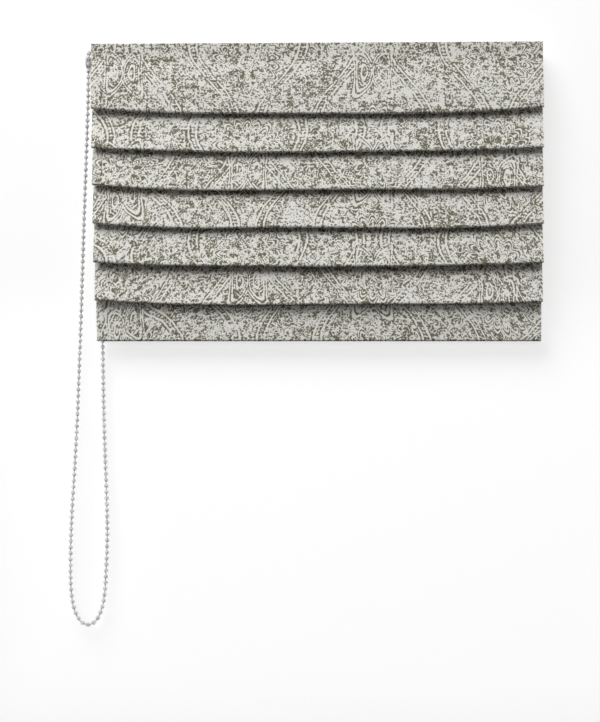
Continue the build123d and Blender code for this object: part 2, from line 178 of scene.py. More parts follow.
# Route of the control chain: over the wheel, down its front, round the loop and up its rear
CHAIN_ROUTE_MM = (
    (-304.5, -21.0, 6.7),
    (-304.5, -25.4, 6.7),
    (-304.5, -31.7, 0.4),
    (-304.5, -31.7, -9.0),
    (-305.8, -31.0, -78.0),
    (-310.6, -30.0, -190.0),
    (-316.0, -28.5, -345.0),
    (-322.6, -26.5, -510.0),
    (-331.0, -25.0, -628.0),
    (-332.4, -24.0, -700.0),
    (-330.0, -23.0, -738.0),
    (-320.5, -21.5, -761.0),
    (-308.5, -20.0, -767.0),
    (-296.8, -17.5, -760.0),
    (-288.2, -15.4, -737.0),
    (-285.4, -14.4, -698.0),
    (-283.0, -13.6, -626.0),
    (-288.6, -12.5, -500.0),
    (-290.0, -11.5, -350.0),
    (-294.6, -10.8, -180.0),
    (-301.6, -10.4, -70.0),
    (-304.5, -10.3, -9.0),
    (-304.5, -10.3, 0.4),
    (-304.5, -16.6, 6.7),
    (-304.5, -21.0, 6.7),
)


def length_prop(name, description, default):
    """A size in metres that a user may change."""
    return FloatProperty(name=name, description=description, default=default, unit="LENGTH", precision=4)


def angle_prop(name, description, default):
    """An angle that a user may change."""
    return FloatProperty(name=name, description=description, default=default, subtype="ANGLE")


def power_prop(name, description, default):
    """A lamp's power that a user may change."""
    return FloatProperty(name=name, description=description, default=default, unit="POWER")


def colour_prop(name, description, default):
    """A colour that a user may change."""
    facts = {"name": name, "description": description, "default": default}
    return FloatVectorProperty(**facts, subtype="COLOR", min=0, max=1)


def share_prop(name, description, default):
    """A plain number that a user may change."""
    return FloatProperty(name=name, description=description, default=default)


class BlindCloth(bpy.types.PropertyGroup):
    """Sizes and colours of the printed cloth."""

    thickness: length_prop("Thickness", "Thickness of the cloth", 1.0 * MM)
    crest_radius: length_prop("Crest Radius", "Radius of a fold's front edge", 2.2 * MM)
    rear_radius: length_prop("Rear Radius", "Radius of a fold at its rod", 3.0 * MM)
    fold_reach: length_prop("Fold Reach", "Reach of a crest's roll out of the wall", 45.5 * MM)
    rear_reach: length_prop("Rear Reach", "Reach of a rear roll out of the wall", 31.7 * MM)
    end_gain: length_prop("End Gain", "How much further out the crests' ends stand", 1.5 * MM)
    last_fold_loss: length_prop("Last Fold Loss", "How much less the lowest crest stands out", 5.5 * MM)
    draw_in: length_prop("Draw In", "How far the left edge draws in at the bottom", 5.5 * MM)
    belly: length_prop("Belly", "How far a front panel bellies out", 0.6 * MM)
    hem_fullness: share_prop("Hem Fullness", "How much more the hem bellies out", 3.0)
    repeat_width: length_prop("Repeat Width", "Width of the print's repeat", 166.0 * MM)
    repeat_height: length_prop("Repeat Height", "Height of the print's repeat", 212.0 * MM)
    print_shift: length_prop("Print Shift", "How far the print is moved across", 40.0 * MM)
    grain: length_prop("Grain", "Size of the worn speckle in the print", 2.4 * MM)
    patch: length_prop("Patch", "Size of the darker and paler patches in the print", 9.0 * MM)
    scroll: length_prop("Scroll", "Size of the small scrolls in the print", 5.2 * MM)
    sprig: length_prop("Sprig", "Size of the small sprigs in the print", 9.0 * MM)
    contrast: share_prop("Contrast", "How strongly the print's lines show", 0.20)
    paleness: share_prop("Paleness", "Extra share of pale print", -0.004)
    pale: colour_prop("Pale", "Pale colour of the print", (0.890, 0.872, 0.822))
    dark: colour_prop("Dark", "Olive ground of the print", (0.158, 0.148, 0.092))
    lining: colour_prop("Lining", "Colour of the cloth's back", (0.72, 0.70, 0.65))


class BlindChain(bpy.types.PropertyGroup):
    """Sizes and colours of the control chain and the lift cords."""

    bead_diameter: length_prop("Bead Diameter", "Diameter of a bead", 6.0 * MM)
    bead_count: IntProperty(name="Bead Count", description="Beads on the endless chain", default=192, min=8)
    cord_diameter: length_prop("Cord Diameter", "Diameter of the chain's cord", 1.6 * MM)
    cord_length: length_prop("Cord Length", "Length of the endless cord", 1.577)
    lift_diameter: length_prop("Lift Cord Diameter", "Diameter of a lift cord", 1.4 * MM)
    bead_colour: colour_prop("Bead Colour", "Colour of the moulded beads", (0.72, 0.72, 0.715))
    cord_colour: colour_prop("Cord Colour", "Colour of the cords", (0.80, 0.80, 0.785))


class BlindStage(bpy.types.PropertyGroup):
    """Camera, light and backdrop."""

    camera_reach: length_prop("Camera Reach", "Distance from the aim to the camera", 1.80)
    camera_side: angle_prop("Camera Side", "Turn of the camera to the right", math.radians(1.4))
    camera_rise: angle_prop("Camera Rise", "Rise of the camera", math.radians(0.8))
    aim_x: length_prop("Aim X", "Side place of the middle of the view", -0.0212)
    aim_z: length_prop("Aim Z", "Height of the middle of the view", -0.4077)
    view_height: length_prop("View Height", "Height of the view at the cloth", 0.9585)
    wall_gap: length_prop("Wall Gap", "Distance of the wall behind the brackets", 1.0 * MM)
    floor_height: length_prop("Floor Height", "Height of the floor", -1.35)
    key_power: power_prop("Key Power", "Power of the key lamp", 133.0)
    back_power: power_prop("Back Power", "Power of the lamp behind the wall", 34.0)
    right_power: power_prop("Right Power", "Power of the lamp at the right", 20.0)
    left_power: power_prop("Left Power", "Power of the lamp at the left", 20.0)
    low_power: power_prop("Low Power", "Power of the lamp on the lower half", 0.25)
    sky: FloatProperty(name="Sky", description="Strength of the light from overhead", default=0.5, min=0)


# Materials


class Field:
    """A number that a material works out at each point, so that a pattern reads as plain sums."""

    def __init__(self, tree, socket):
        self.tree = tree
        self.socket = socket

    def work(self, operation, *others, clamp=False):
        """This number and others put through one math node."""
        made = self.tree.nodes.new("ShaderNodeMath")
        made.operation = operation
        made.use_clamp = clamp
        for slot, value in zip(made.inputs, (self, *others)):
            if isinstance(value, Field):
                self.tree.links.new(value.socket, slot)
            else:
                slot.default_value = value
        return Field(self.tree, made.outputs[0])

    def __add__(self, other):
        return self.work("ADD", other)

    def __sub__(self, other):
        return self.work("SUBTRACT", other)

    def __mul__(self, other):
        return self.work("MULTIPLY", other)

    def __truediv__(self, other):
        return self.work("DIVIDE", other)

    def held(self):
        """This number held between 0 and 1."""
        return self.work("MULTIPLY", 1.0, clamp=True)

    def band(self, middle, half, edge):
        """1 within half of the middle, falling to 0 over the edge."""
        away = (self - middle).work("ABSOLUTE")
        return ((away * -1 + (half + edge)) / edge).work("MINIMUM", 1).work("MAXIMUM", 0)

    def below(self, level, edge):
        """1 under the level, falling to 0 over the edge."""
        return ((self * -1 + level) / edge).work("ADD", 0.5, clamp=True)


def start_material(name):
    """A material with a principled shader."""
    material = bpy.data.materials.new(name)
    material.use_nodes = True
    tree = material.node_tree
    shader = tree.nodes["Principled BSDF"]
    return material, tree, shader


def noise_field(tree, vector, scale, detail=2.0, rough=0.5):
    """Soft noise at a scale in cells a metre."""
    made = tree.nodes.new("ShaderNodeTexNoise")
    made.inputs["Scale"].default_value = scale
    made.inputs["Detail"].default_value = detail
    made.inputs["Roughness"].default_value = rough
    tree.links.new(vector, made.inputs["Vector"])
    return Field(tree, made.outputs["Fac"])


def object_vector(tree, stretch=(1, 1, 1)):
    """Object coordinates, stretched."""
    coordinates = tree.nodes.new("ShaderNodeTexCoord")
    mapping = tree.nodes.new("ShaderNodeMapping")
    mapping.inputs["Scale"].default_value = stretch
    tree.links.new(coordinates.outputs["Object"], mapping.inputs["Vector"])
    return mapping.outputs["Vector"]


def mix_colours(tree, share, low, high):
    """A colour from low to high by a share."""
    made = tree.nodes.new("ShaderNodeMix")
    made.data_type = "RGBA"
    tree.links.new(share.socket, made.inputs["Factor"])
    for socket, colour in zip((made.inputs[6], made.inputs[7]), (low, high)):
        if isinstance(colour, bpy.types.NodeSocket):
            tree.links.new(colour, socket)
        else:
            socket.default_value = (*colour, 1)
    return made.outputs[2]


def set_bump(tree, shader, height, distance):
    """Bump from a height field."""
    bump = tree.nodes.new("ShaderNodeBump")
    bump.inputs["Distance"].default_value = distance
    bump.inputs["Strength"].default_value = 1.0
    tree.links.new(height.socket, bump.inputs["Height"])
    tree.links.new(bump.outputs["Normal"], shader.inputs["Normal"])


def plain_finish(name, colour, roughness, scale, spread=0.08, metal=0.0, stretch=(1, 1, 1), bump=0.05):
    """A finish with small changes of colour and sheen, such as a moulding or a drawn metal has."""
    material, tree, shader = start_material(name)
    vector = object_vector(tree, stretch)
    fine = noise_field(tree, vector, scale, 4.0, 0.6)
    broad = noise_field(tree, vector, scale / 18, 2.0)
    low = tuple(c * (1 - spread) for c in colour)
    high = tuple(min(1.0, c * (1 + spread)) for c in colour)
    tree.links.new(mix_colours(tree, fine * 0.4 + broad * 0.6, low, high), shader.inputs["Base Color"])
    tree.links.new((fine * 0.16 + (roughness - 0.08)).socket, shader.inputs["Roughness"])
    shader.inputs["Metallic"].default_value = metal
    set_bump(tree, shader, fine, bump * MM)
    return material


def spangle_finish(name, colour):
    """Zinc with its crystal flowers."""
    material, tree, shader = start_material(name)
    cells = tree.nodes.new("ShaderNodeTexVoronoi")
    cells.inputs["Scale"].default_value = 260.0
    tree.links.new(object_vector(tree), cells.inputs["Vector"])
    grey = tree.nodes.new("ShaderNodeRGBToBW")
    tree.links.new(cells.outputs["Color"], grey.inputs["Color"])
    share = Field(tree, grey.outputs["Val"])
    low = tuple(c * 0.82 for c in colour)
    tree.links.new(mix_colours(tree, share, low, colour), shader.inputs["Base Color"])
    tree.links.new((share * 0.2 + 0.3).socket, shader.inputs["Roughness"])
    shader.inputs["Metallic"].default_value = 1.0
    set_bump(tree, shader, share, 0.02 * MM)
    return material


def woven_height(tree, along, across, pitch):
    """Height of a plain weave over two coordinates."""
    return (along * (TURN / pitch)).work("SINE") * (across * (TURN / pitch)).work("SINE")


def split_vector(tree, vector):
    """The three numbers of a vector."""
    parts = tree.nodes.new("ShaderNodeSeparateXYZ")
    tree.links.new(vector, parts.inputs[0])
    return [Field(tree, socket) for socket in parts.outputs]


def woven_finish(name, colour, pitch):
    """A woven or braided finish."""
    material, tree, shader = start_material(name)
    vector = object_vector(tree)
    x, y, z = split_vector(tree, vector)
    weave = woven_height(tree, x + z, y + z - x, pitch)
    soil = noise_field(tree, vector, 60.0)
    low = tuple(c * 0.80 for c in colour)
    tree.links.new(mix_colours(tree, weave * 0.3 + soil * 0.7, low, colour), shader.inputs["Base Color"])
    shader.inputs["Roughness"].default_value = 0.8
    set_bump(tree, shader, weave, 0.12 * MM)
    return material


def clear_finish(name):
    """Clear moulded plastic with faint flow marks."""
    material, tree, shader = start_material(name)
    flow = noise_field(tree, object_vector(tree), 300.0)
    tree.links.new((flow * 0.2 + 0.05).socket, shader.inputs["Roughness"])
    shader.inputs["Base Color"].default_value = (0.92, 0.94, 0.95, 1)
    shader.inputs["Transmission Weight"].default_value = 0.85
    shader.inputs["IOR"].default_value = 1.46
    set_bump(tree, shader, flow, 0.05 * MM)
    return material


def engraved(field, middle):
    """A pale line with a dark line along each side."""
    pale = field.band(middle, LINE_HALF_MM, LINE_EDGE_MM)
    wide = field.band(middle, 3 * LINE_HALF_MM, LINE_EDGE_MM)
    return pale * 1.6 - wide * 0.6


def print_shares(tree, style):
    """Share of pale print at each point of the cloth: a half-drop ogee trellis with fans and bent drops."""
    coordinates = tree.nodes.new("ShaderNodeUVMap")
    coordinates.uv_map = CLOTH_UV
    uv = coordinates.outputs["UV"]
    across, down, _ = split_vector(tree, uv)
    wear = noise_field(tree, uv, WEAR_SCALE) - 0.5
    fade = ((noise_field(tree, uv, FADE_SCALE) - 0.5) * 4).work("ADD", 0.75, clamp=True)
    # the lines waver, as if drawn by hand
    waver = tree.nodes.new("ShaderNodeTexNoise")
    waver.inputs["Scale"].default_value = WAVER_SCALE
    tree.links.new(uv, waver.inputs["Vector"])
    sway, rise, _ = split_vector(tree, waver.outputs["Color"])
    across = across + (sway - 0.5) * WAVER
    down = down + (rise - 0.5) * WAVER
    columns = (across + style.print_shift) / style.repeat_width
    column = columns.work("FLOOR")
    side = columns - column - 0.5
    half_drop = column.work("FLOORED_MODULO", 2.0) * 0.5
    rows = down / style.repeat_height + half_drop
    row = rows - rows.work("FLOOR") - 0.5
    x = side * (style.repeat_width / MM)
    y = row * (style.repeat_height / MM)
    away = x.work("ABSOLUTE")
    # trellis: two engraved lines with rungs between them, and a row of dots
    ogee = away - ((row * TURN).work("COSINE") * OGEE_SWING_MM + OGEE_MIDDLE_MM)
    rungs = (row * (TURN * RUNG_COUNT)).work("SINE").held()
    motif = engraved(ogee, OGEE_LINES_MM[0]) + engraved(ogee, OGEE_LINES_MM[1])
    motif = motif + ogee.band(*OGEE_RUNGS_MM) * (rungs * 0.9 - 0.25)
    dots = (row * (TURN * DOT_COUNT)).work("COSINE").band(1.0, 0.7, 0.4)
    motif = motif + ogee.band(*OGEE_DOTS_MM) * dots
    # fan in the wide part
    fan_y = y - FAN_RISE_MM
    radius = (x * x + fan_y * fan_y).work("SQRT")
    angle = x.work("ARCTAN2", fan_y * -1)
    petals = (angle * PETAL_COUNT).work("COSINE")
    contour = radius / (petals.work("ABSOLUTE") * PETAL_DEPTH + (1 - PETAL_DEPTH))
    for level in FAN_LINES_MM:
        motif = motif + engraved(contour, level)
    veins = (angle * VEIN_COUNT).work("COSINE").held()
    motif = motif + contour.band(*FAN_VEINS_MM) * (veins - 0.35)
    motif = motif + contour.band(*FAN_LEAVES_MM) * (petals.held() * -1.2 + 0.3)
    # bent drops in the narrow part
    drop_y = y + DROP_FALL_MM
    bent = away - (drop_y * drop_y * 0.010 + DROP_SPREAD_MM)
    drop = (bent * bent * 2.4 + drop_y * drop_y * 0.36).work("SQRT")
    for level in DROP_LINES_MM:
        motif = motif + engraved(drop, level)
    hatch = (drop_y * 1.5 + bent).work("SINE").held()
    motif = motif + drop.band(*DROP_HATCH_MM) * (hatch - 0.4)
    motif = motif.work("MAXIMUM", -1.0).work("MINIMUM", 1.0) * fade * style.contrast
    # sprigs all over: dark hearts with pale rims
    cells = tree.nodes.new("ShaderNodeTexVoronoi")
    cells.feature = "SMOOTH_F1"
    cells.inputs["Scale"].default_value = 1 / style.sprig
    tree.links.new(uv, cells.inputs["Vector"])
    heart = Field(tree, cells.outputs["Distance"])
    sprigs = heart.band(0.42, 0.10, 0.12) - heart.band(0.10, 0.10, 0.10) * 0.8
    # small scrolls: pale lines that wind through the ground
    scrolls = noise_field(tree, uv, 1 / style.scroll, 1.0).band(0.5, 0.035, 0.05) - 0.45
    grain = noise_field(tree, uv, 1 / style.grain, 2.0, 0.6)
    patches = noise_field(tree, uv, 1 / style.patch, 1.0) - 0.5
    value = grain * GRAIN_SHARE + patches * PATCH_SHARE + GROUND + motif
    value = value + scrolls * SCROLL_SHARE + sprigs * SPRIG_SHARE + wear * WEAR_SHARE + style.paleness
    return (value * -1).below(-0.5, 0.10), grain


def print_finish(style):
    """Worn two-colour print on a plain weave."""
    material, tree, shader = start_material("printed_cloth_face")
    pale_share, grain = print_shares(tree, style)
    tree.links.new(mix_colours(tree, pale_share, style.dark, style.pale), shader.inputs["Base Color"])
    shader.inputs["Roughness"].default_value = 0.88
    shader.inputs["Sheen Weight"].default_value = 0.08
    set_bump(tree, shader, grain + pale_share * 0.3, 0.16 * MM)
    return material


def lining_finish(style):
    """The unprinted back, with the print just showing through."""
    material, tree, shader = start_material("printed_cloth_back")
    pale_share, grain = print_shares(tree, style)
    low = tuple(c * 0.86 for c in style.lining)
    share = pale_share * 0.7 + grain * 0.3
    tree.links.new(mix_colours(tree, share, low, style.lining), shader.inputs["Base Color"])
    shader.inputs["Roughness"].default_value = 0.9
    set_bump(tree, shader, grain, 0.2 * MM)
    return material


# Cloth


def cloth_stations():
    """x of each station, closer together near the side hems."""
    even = np.linspace(-HALF_WIDTH, HALF_WIDTH, STATION_COUNT)
    seam = HALF_WIDTH - SIDE_HEM
    extra = [side * (seam + step) for side in (-1, 1) for step in (-SIDE_HEM_STEP, SIDE_HEM_STEP)]
    return np.unique(np.round(np.concatenate([even, extra]), 6))


def crest_drop(x, fold):
    """How far a crest hangs under its ends, along the width."""
    out = np.clip((np.abs(x) - LEVEL_SHARE * HALF_WIDTH) / ((1 - LEVEL_SHARE) * HALF_WIDTH), 0, 1) ** 2
    lift = np.where(x < 0, LEFT_LIFT_MM[fold], RIGHT_LIFT_MM[fold]) * out
    height, waves, phase = CREST_WAVES_MM[fold]
    wave = height * np.sin(waves * math.pi * x / HALF_WIDTH + phase)
    return (CREST_HANG_MM - lift + wave) * MM, out


def cloth_rolls(x, style):
    """Rolls that the cloth passes round: reach, height, radius, turn and steps before and after the rod."""
    zero = np.zeros_like(x)
    rolls = [(zero + TOP_ROLL_REACH, zero, TOP_ROLL_RADIUS, 1, TOP_STEPS)]
    for fold in range(FOLD_COUNT):
        hang, out = crest_drop(x, fold)
        rod = ROD_HEIGHTS[fold]
        crest_reach = style.fold_reach + style.end_gain * out
        if fold == FOLD_COUNT - 1:
            crest_reach = crest_reach - style.last_fold_loss
        rolls.append((crest_reach, rod - CREST_FALL - hang, style.crest_radius, -1, CREST_STEPS))
        rolls.append((zero + style.rear_reach, zero + rod, style.rear_radius, 1, REAR_STEPS))
    hem_height = CLOTH_BOTTOM + style.thickness / 2 + HEM_RADIUS
    rolls.append((zero + HEM_REACH, zero + hem_height, HEM_RADIUS, -1, HEM_STEPS))
    return rolls


def cloth_lines(x, style):
    """Lines along the width that make the folded cloth, with the rows where it parts into pieces."""
    rolls = cloth_rolls(x, style)
    headings = [np.full_like(x, -math.pi / 2)]
    for a, b in zip(rolls, rolls[1:]):
        span_y, span_z = b[0] - a[0], b[1] - a[1]
        lean = a[3] * np.arcsin((a[2] + b[2]) / np.hypot(span_y, span_z))
        headings.append(np.arctan2(span_z, span_y) + lean)
    headings.append(np.full_like(x, math.pi / 2))
    rows = [(rolls[0][0] - rolls[0][2], np.full_like(x, CLOTH_TOP))]
    bulge = [0.0]
    partings = []
    for number, (reach, height, radius, turn, steps) in enumerate(rolls):
        start, end = headings[number], headings[number + 1]
        marks = [start, start + turn * ((turn * (end - start)) % TURN)]
        if len(steps) == 2:
            # a crest parts at its lowest point, a rear roll at its rearmost point
            level = math.pi if turn < 0 else math.pi * 3 / 2
            marks.insert(1, start + turn * ((turn * (level - start)) % TURN))
        first = (reach + turn * radius * np.sin(start), height - turn * radius * np.cos(start))
        last = rows[-1]
        long = float(np.mean(np.hypot(first[0] - last[0], first[1] - last[1])))
        count = max(2, round(long / ROW_PITCH))
        # the long panels under the top one belly out, and the hem does so most
        fullness = style.hem_fullness if number == len(rolls) - 1 else 1.0
        if number == 0 or long <= LONG_PANEL:
            fullness = 0.0
        for step in range(1, count):
            t = step / count
            rows.append(tuple(p + (q - p) * t for p, q in zip(last, first)))
            bulge.append(fullness * math.sin(math.pi * t))
        for part, (low, high, n) in enumerate(zip(marks, marks[1:], steps)):
            for step in range(0 if part == 0 else 1, n + 1):
                angle = low + (high - low) * step / n
                rows.append((reach + turn * radius * np.sin(angle), height - turn * radius * np.cos(angle)))
                bulge.append(0.0)
            if part == 0 and len(steps) == 2:
                partings.append(len(rows) - 1)
    for _ in range(TURN_UP_ROWS):
        rows.append((rows[-1][0], rows[-1][1] + TURN_UP / TURN_UP_ROWS))
        bulge.append(0.0)
    points = np.stack([np.stack([x, -reach, height], axis=1) for reach, height in rows], axis=1)
    return points, np.array(bulge), partings


def opened_depth(points, partings):
    """How far down the cloth each point lies when the blind is open."""
    opened = points.copy()
    for tier, (crest, rod) in enumerate(zip(partings[::2], partings[1::2])):
        top = points[:, crest, 2].max()
        share = np.clip((points[:, crest : rod + 1, 2] - top) / (ROD_HEIGHTS[tier] - top), 0, 1)
        opened[:, crest : rod + 1, 2] -= OPEN_TRAVEL * share
        opened[:, rod + 1 :, 2] -= OPEN_TRAVEL
    steps = np.linalg.norm(np.diff(opened, axis=1), axis=2)
    return np.concatenate([np.zeros((len(points), 1)), np.cumsum(steps, axis=1)], axis=1)


def grid_normals(points):
    """Unit normals of a grid of points, out of the printed face."""
    normal = np.cross(np.gradient(points, axis=0), np.gradient(points, axis=1))
    normal /= np.linalg.norm(normal, axis=2, keepdims=True)
    return normal if normal[len(normal) // 2, 3, 1] < 0 else -normal


def sheet_object(name, face, back, down, materials, rolled=None):
    """A closed sheet from two grids of points, with the flat cloth's own coordinates.

    A strip that turns over when the blind opens has its print on the other side between its two rolls.
    """
    columns, rows = face.shape[:2]
    number = np.arange(columns * rows).reshape(columns, rows)
    shift = columns * rows
    corners = [number[:-1, :-1], number[:-1, 1:], number[1:, 1:], number[1:, :-1]]
    quads = np.stack(corners, axis=2).reshape(-1, 4)
    back_quads = quads[:, ::-1] + shift
    loop = np.concatenate([number[:, 0], number[-1, 1:], number[-2::-1, -1], number[0, -2:0:-1]])
    following = np.roll(loop, -1)
    rim = np.stack([loop, following, following + shift, loop + shift], axis=1)
    faces = np.concatenate([quads, back_quads, rim])
    vertices = np.concatenate([face.reshape(-1, 3), back.reshape(-1, 3)])
    mesh = bpy.data.meshes.new(name)
    mesh.from_pydata(vertices.tolist(), [], faces.tolist())
    flat = np.stack([np.repeat(face[:, 0, 0] + HALF_WIDTH, rows), down.ravel()], axis=1)
    flat = np.concatenate([flat, flat])
    layer = mesh.uv_layers.new(name=CLOTH_UV)
    corner = np.zeros(len(mesh.loops), np.int32)
    mesh.loops.foreach_get("vertex_index", corner)
    layer.data.foreach_set("uv", flat[corner].astype(np.float32).ravel())
    kinds = np.zeros(len(faces), np.int32)
    kinds[len(quads) : 2 * len(quads)] = 1
    if rolled is not None:
        row = np.tile(np.arange(rows - 1), columns - 1)
        over_rod = row >= rows - 1 - rolled[1]
        kinds[: len(quads)] = (row >= rolled[0]) & ~over_rod
        kinds[len(quads) : 2 * len(quads)] = over_rod
    for material in materials:
        mesh.materials.append(material)
    mesh.polygons.foreach_set("material_index", kinds)
    mesh.polygons.foreach_set("use_smooth", np.ones(len(faces), bool))
    mesh.update()
    sharp = mesh.attributes.new("sharp_edge", "BOOLEAN", "EDGE")
    ends = np.zeros(2 * len(mesh.edges), np.int32)
    mesh.edges.foreach_get("vertices", ends)
    ends = ends.reshape(-1, 2)
    on_rim = np.zeros(len(vertices), bool)
    on_rim[loop] = True
    on_rim[loop + shift] = True
    same_side = (ends[:, 0] < shift) == (ends[:, 1] < shift)
    sharp.data.foreach_set("value", on_rim[ends].all(axis=1) & same_side)
    return add_object(name, mesh)


def add_object(name, data):
    """A new object in the scene, at the origin."""
    made = bpy.data.objects.new(name, data)
    bpy.context.scene.collection.objects.link(made)
    return made


class BLIND_OT_cloth(bpy.types.Operator):
    """Make the printed cloth: front panels, returns behind the folds, and the hem"""

    bl_idname = "blind.cloth"
    bl_label = "Printed Cloth"

    def execute(self, context):
        style = context.scene.blind_cloth
        x = cloth_stations()
        points, bulge, partings = cloth_lines(x, style)
        normals = grid_normals(points)
        steps = np.linalg.norm(np.diff(points, axis=1), axis=2).mean(axis=0)
        down = np.concatenate([[0.0], np.cumsum(steps)])
        flat_down = opened_depth(points, partings)
        # the left edge draws in towards the bottom, and the panels belly out a little, not quite evenly
        depth = (CLOTH_TOP - points[:, :, 2]) / (CLOTH_TOP - CLOTH_BOTTOM)
        points[:, :, 0] += style.draw_in * depth * ((HALF_WIDTH - points[:, :, 0]) / (2 * HALF_WIDTH)) ** 2
        uneven = np.sin(x[:, None] * 31 + down * 40) + np.sin(x[:, None] * 17 - down * 63 + 2)
        points = points + normals * (bulge * (style.belly + UNEVENNESS * uneven))[:, :, None]
        normals = grid_normals(points)
        side_hem = SIDE_HEM_THICKNESS * (np.abs(x) > HALF_WIDTH - SIDE_HEM)
        face = points + normals * style.thickness / 2
        back = points - normals * (style.thickness / 2 + side_hem)[:, None, None]
        materials = [print_finish(style), lining_finish(style)]
        rows = [0, *partings, points.shape[1] - 1]
        for number, (first, last) in enumerate(zip(rows, rows[1:])):
            tier = number // 2
            kind = "hem" if tier == FOLD_COUNT else ("front" if number % 2 == 0 else "return")
            name = f"cloth_{kind}" if kind == "hem" else f"cloth_{kind}_{tier + 1}"
            part = slice(first, last + 1)
            rolled = RETURN_ROLLS if kind == "return" else None
            piece = sheet_object(name, face[:, part], back[:, part], flat_down[:, part], materials, rolled)
            if kind == "return":
                BODIES[tier + 1]
                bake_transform(piece)
            else:
                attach(piece, BODIES[tier])
            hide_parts("cloth")
            held_by = "hook_tape" if number == 0 else f"rod_pocket_{min(tier + number % 2, FOLD_COUNT)}"
            "hung" if kind == "front" else "folded"
        return {"FINISHED"}


# Chain and cords


def route_curve(name, route, radius):
    """One smooth open spline with the route's points as its control points."""
    curve = bpy.data.curves.new(name, "CURVE")
    curve.dimensions = "3D"
    curve.resolution_u = 10
    curve.bevel_depth = radius
    curve.bevel_resolution = 3
    curve.use_fill_caps = True
    spline = curve.splines.new("NURBS")
    spline.points.add(len(route) - 1)
    for point, place in zip(spline.points, route):
        point.co = (*[value * MM for value in place], 1)
    spline.order_u = 3
    spline.use_endpoint_u = True
    return add_object(name, curve)


def spline_mesh(name, source):
    """The line of a curve as a mesh of edges, with no bevel."""
    depth = source.data.bevel_depth
    source.data.bevel_depth = 0
    context = bpy.context
    context.view_layer.update()
    mesh = bpy.data.meshes.new_from_object(source.evaluated_get(context.evaluated_depsgraph_get()))
    source.data.bevel_depth = depth
    return add_object(name, mesh)


class Tree:
    """A geometry node tree with named inputs."""

    def __init__(self, name):
        self.tree = bpy.data.node_groups.new(name, "GeometryNodeTree")
        self.tree.interface.new_socket("Geometry", in_out="INPUT", socket_type="NodeSocketGeometry")
        self.tree.interface.new_socket("Geometry", in_out="OUTPUT", socket_type="NodeSocketGeometry")
        self.source = self.add("NodeGroupInput")
        self.keys = {}

    def add(self, kind, values=None, **settings):
        """A node with its settings, and its sockets set or linked."""
        made = self.tree.nodes.new(kind)
        for name, value in settings.items():
            setattr(made, name, value)
        for name, value in (values or {}).items():
            socket = made.inputs[name]
            if isinstance(value, bpy.types.NodeSocket):
                self.tree.links.new(value, socket)
            else:
                socket.default_value = value
        return made

    def input(self, name, kind):
        """A named input of the tree."""
        socket = self.tree.interface.new_socket(name, in_out="INPUT", socket_type=kind)
        self.keys[name] = socket.identifier
        return self.source.outputs[name]

    def finish(self, places, shape, material):
        """Put a shape at each place, realise the instances, smooth them and give them their material."""
        values = {"Points": places.outputs[0], "Instance": shape.outputs[0]}
        many = self.add("GeometryNodeInstanceOnPoints", values)
        real = self.add("GeometryNodeRealizeInstances", {"Geometry": many.outputs[0]})
        smooth = self.add("GeometryNodeSetShadeSmooth", {0: real.outputs[0]})
        painted = self.add("GeometryNodeSetMaterial", {"Geometry": smooth.outputs[0], "Material": material})
        self.add("NodeGroupOutput", {0: painted.outputs[0]})

    def bake(self, source, name, values):
        """Run the tree on an object and keep the result as a plain mesh."""
        modifier = source.modifiers.new("pieces", "NODES")
        modifier.node_group = self.tree
        for key, value in values.items():
            modifier[self.keys[key]] = value
        context = bpy.context
        context.view_layer.update()
        mesh = bpy.data.meshes.new_from_object(source.evaluated_get(context.evaluated_depsgraph_get()))
        if not mesh.polygons:
            raise RuntimeError(f"{name} came out empty")
        mesh.name = name
        source.modifiers.remove(modifier)
        bpy.data.objects.remove(source)
        return add_object(name, mesh)


def bead_tree(material):
    """Balls at an even pitch round an endless line."""
    tree = Tree("beads_on_cord")
    diameter = tree.input("Bead Diameter", "NodeSocketFloat")
    count = tree.input("Bead Count", "NodeSocketInt")
    curve = tree.add("GeometryNodeMeshToCurve", {"Mesh": tree.source.outputs["Geometry"]})
    last = tree.add("ShaderNodeMath", {0: 1.0, 1: count}, operation="DIVIDE")
    end = tree.add("ShaderNodeMath", {0: 1.0, 1: last.outputs[0]}, operation="SUBTRACT")
    trim = tree.add("GeometryNodeTrimCurve", {"Curve": curve.outputs[0], 3: end.outputs[0]}, mode="FACTOR")
    even = tree.add("GeometryNodeResampleCurve", {"Curve": trim.outputs[0], "Count": count}, mode="COUNT")
    radius = tree.add("ShaderNodeMath", {0: diameter, 1: 0.5}, operation="MULTIPLY")
    ball = tree.add("GeometryNodeMeshIcoSphere", {"Radius": radius.outputs[0], "Subdivisions": 2})
    tree.finish(even, ball, material)
    return tree


class BLIND_OT_chain(bpy.types.Operator):
    """Make the endless control chain: its cord and its beads"""

    bl_idname = "blind.chain"
    bl_label = "Control Chain"

    def execute(self, context):
        style = context.scene.blind_chain
        cord = route_curve("control_cord", CHAIN_ROUTE_MM, style.cord_diameter / 2)
        cord.data.materials.append(woven_finish("chain_cord_braid", style.cord_colour, 1.1 * MM))
        moulded = plain_finish("bead_moulding", style.bead_colour, 0.45, 420.0, spread=0.05, bump=0.0)
        shader = moulded.node_tree.nodes["Principled BSDF"]
        shader.inputs["Transmission Weight"].default_value = 0.6
        line = spline_mesh("bead_line", cord)
        values = {"Bead Diameter": style.bead_diameter, "Bead Count": style.bead_count}
        beads = bead_tree(moulded).bake(line, "control_beads", values)
        facts = ((cord, "chain_cord", "cord_white"), (beads, "chain_beads", "bead_plastic"))
        for piece, node, slot in facts:
            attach(piece, "rail")
            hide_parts(node)
        return {"FINISHED"}


